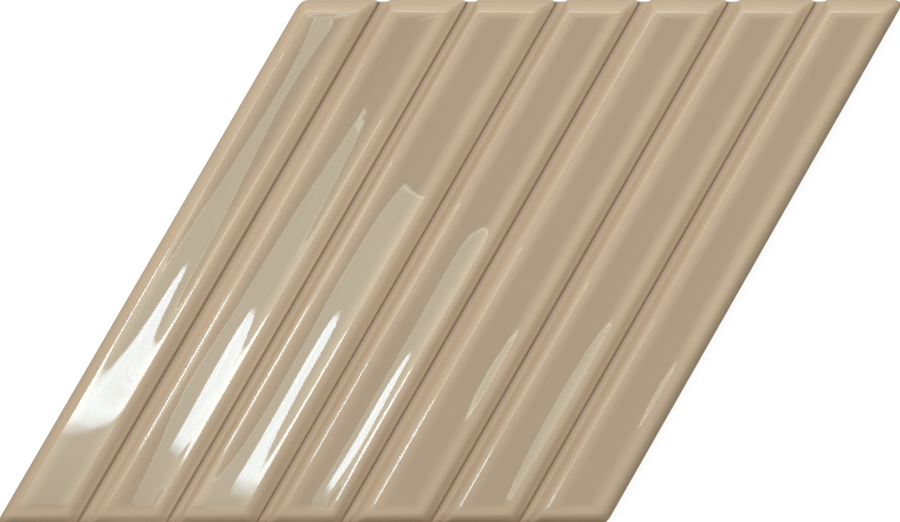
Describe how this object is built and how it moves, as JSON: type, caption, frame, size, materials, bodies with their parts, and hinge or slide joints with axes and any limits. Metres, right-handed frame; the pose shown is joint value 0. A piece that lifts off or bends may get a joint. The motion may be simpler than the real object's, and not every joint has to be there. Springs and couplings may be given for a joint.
{
  "type": "relief wall tile",
  "caption": "Rhombus-shaped glazed ceramic wall tile with raised, dished slats along its slanted sides, pressed joint grooves between them and a keyed back.",
  "frame": {"origin": "centre of the back, on the plane that beds into the adhesive", "axes": "+X along the two end edges, +Y across them on the face, +Z out of the glazed face; the slats run at 60 degrees from +X"},
  "size_m": [0.2262, 0.1316, 0.009],
  "materials": {
    "glaze": "glossy"
  },
  "bodies": {
    "root": {"tile": "glaze"}
  },
  "joints": []
}
